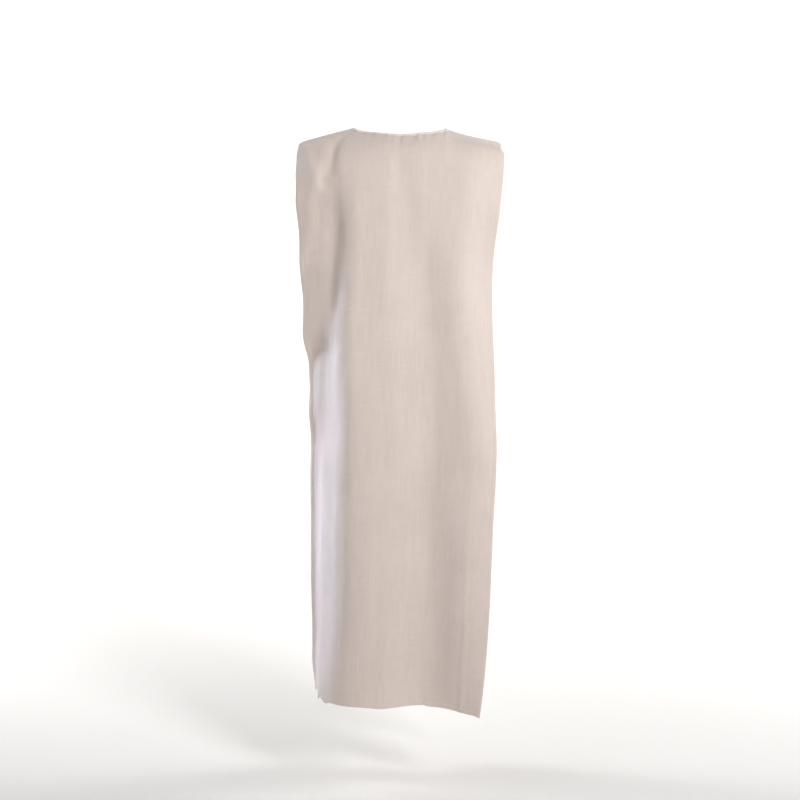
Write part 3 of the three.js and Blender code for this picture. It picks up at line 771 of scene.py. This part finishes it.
def cotton_thread():
    """Spun cotton sewing thread: matt, a touch warmer and paler than the canvas, twisted plies."""
    material = bpy.data.materials.new("spun_cotton_thread")
    material.use_nodes = True
    tree = material.node_tree
    tree.nodes.clear()
    spot = add_node(tree, "ShaderNodeTexCoord").outputs["Object"]
    # plies twist every 0.6 mm
    ply = add_node(
        tree, "ShaderNodeTexWave",
        {"Vector": spot, "Scale": math.pi / 10 / 0.0006, "Distortion": 1.0},
        wave_type="BANDS", bands_direction="DIAGONAL",
    )
    colour = add_node(
        tree, "ShaderNodeMix",
        {"Factor": ply.outputs["Fac"], "A": linear("#D6C9B6"), "B": linear("#EBE1D0")},
        data_type="RGBA",
    )
    bump = add_node(
        tree, "ShaderNodeBump", {"Strength": 0.4, "Distance": 0.0001, "Height": ply.outputs["Fac"]}
    )
    shader = add_node(
        tree, "ShaderNodeBsdfPrincipled",
        {"Base Color": colour.outputs[2], "Normal": bump.outputs["Normal"], "Roughness": 0.8,
         "Sheen Weight": 0.15},
    )
    add_node(tree, "ShaderNodeOutputMaterial", {"Surface": shader.outputs["BSDF"]})
    return material


# ---- the garment ----
back = {
    "name": "back_panel_cloth", "side": 1, "length": BACK_LENGTH, "neck_depth": NECK_DEPTH_BACK,
    "seam_rise": SEAM_RISE, "sections": BACK_SECTIONS, "folds": BACK_FOLDS, "seed": 11,
}
front = {
    "name": "front_panel_cloth", "side": -1, "length": FRONT_LENGTH,
    "neck_depth": NECK_DEPTH_FRONT, "seam_rise": 0, "sections": FRONT_SECTIONS,
    "folds": FRONT_FOLDS, "seed": 37,
}
hang(back)
hang(front)

back_cloth = cloth_panel(back)
front_cloth = cloth_panel(front)
binding = neck_binding(back, front)
back_stitches = stitch_rows("back_topstitching", hem_stitching(back) + binding_stitching(back))
front_stitches = stitch_rows("front_topstitching", hem_stitching(front) + binding_stitching(front))

canvas = cotton_canvas(
    "unbleached_cotton_canvas", "#EDE0D8", "#D3C2B9",
    warp_mm=1.1, weft_mm=1.2, roughness=0.9, tone_seed=0.0,
)
# the tape's two tones are paler than the canvas: partly its own paler cotton, partly a painted
# highlight for the light that catches the neckline's edge
tape_with_painted_highlight = cotton_canvas(
    "cotton_bias_tape_with_painted_highlight", "#FBF3EC", "#ECE1D8",
    warp_mm=0.9, weft_mm=0.9, roughness=0.88, tone_seed=5.0,
)
thread = cotton_thread()
for piece, material in (
    (back_cloth, canvas), (front_cloth, canvas), (binding, tape_with_painted_highlight),
    (back_stitches, thread), (front_stitches, thread),
):
    piece.data.materials.append(material)
    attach(piece, "root")

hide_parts("back_panel")
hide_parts("front_panel")
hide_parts("neck_binding")


# ---- floor, light and camera ----
def plain_material(name, code, roughness):
    """A plain matt paint for the floor and backdrop."""
    material = bpy.data.materials.new(name)
    material.use_nodes = True
    shader = material.node_tree.nodes["Principled BSDF"]
    shader.inputs["Base Color"].default_value = linear(code)
    shader.inputs["Roughness"].default_value = roughness
    return material


def studio_floor():
    """A pale floor that curves up into a backdrop: a quarter circle between two straight runs."""
    bend = np.linspace(0, math.pi / 2, 24)
    back_wall = -COVE_START - COVE_RADIUS
    y = np.concatenate([[FLOOR_NEAR], -COVE_START - COVE_RADIUS * np.sin(bend), [back_wall]])
    z = np.concatenate([[0], COVE_RADIUS * (1 - np.cos(bend)), [BACKDROP_HEIGHT]]) + FLOOR
    x = np.linspace(-STUDIO_HALF, STUDIO_HALF, 2)
    points = np.stack(np.broadcast_arrays(x[None, :], y[:, None], z[:, None]), axis=-1)
    floor = make_mesh("studio_floor", points.reshape(-1, 3), grid_faces(len(y), 2)[:, ::-1])
    floor.data.materials.append(plain_material("matt_white_paint", "#F4F3F1", 0.8))


def soft_light(name, place_m, aim_m, size_m, watts, code, spread):
    """A rectangular soft light at a place, turned so that it shines at its aim; a narrow spread is
    a honeycomb grid on its front."""
    data = bpy.data.lights.new(name, "AREA")
    data.shape = "RECTANGLE"
    data.size, data.size_y = size_m
    data.energy = watts
    data.color = linear(code)[:3]
    data.spread = math.radians(spread)
    lamp = bpy.data.objects.new(name, data)
    lamp.location = place_m
    way = np.array(aim_m) - np.array(place_m)
    turn_z = math.atan2(way[1], way[0]) - math.pi / 2
    tilt = math.atan2(way[2], math.hypot(way[0], way[1])) + math.pi / 2
    lamp.rotation_euler = (tilt, 0, turn_z)
    bpy.context.scene.collection.objects.link(lamp)
    return lamp


studio_floor()
lamps = {row["name"]: soft_light(**row) for row in LIGHTS}
# the side strip grazes the back of the garment alone, as a card would shade the front from it
grazed = bpy.data.collections.new("grazed_by_side_strip")
for piece in (back_cloth, back_stitches, binding):
    grazed.objects.link(piece)
lamps["left_side_strip"].light_linking.receiver_collection = grazed
world = bpy.data.worlds.new("pale_studio")
world.use_nodes = True
world.node_tree.nodes["Background"].inputs["Color"].default_value = linear("#FFFFFF")
world.node_tree.nodes["Background"].inputs["Strength"].default_value = WORLD_STRENGTH
bpy.context.scene.world = world
bpy.context.scene.view_settings.view_transform = "Standard"

camera_data = bpy.data.cameras.new("camera")
camera_data.sensor_width = SENSOR
camera_data.lens = LENS
camera = bpy.data.objects.new("camera", camera_data)
camera.location = [value * MM for value in CAMERA_PLACE]
camera.rotation_euler = (math.radians(90 - CAMERA_TILT), 0, math.radians(180))
bpy.context.scene.collection.objects.link(camera)
bpy.context.scene.camera = camera
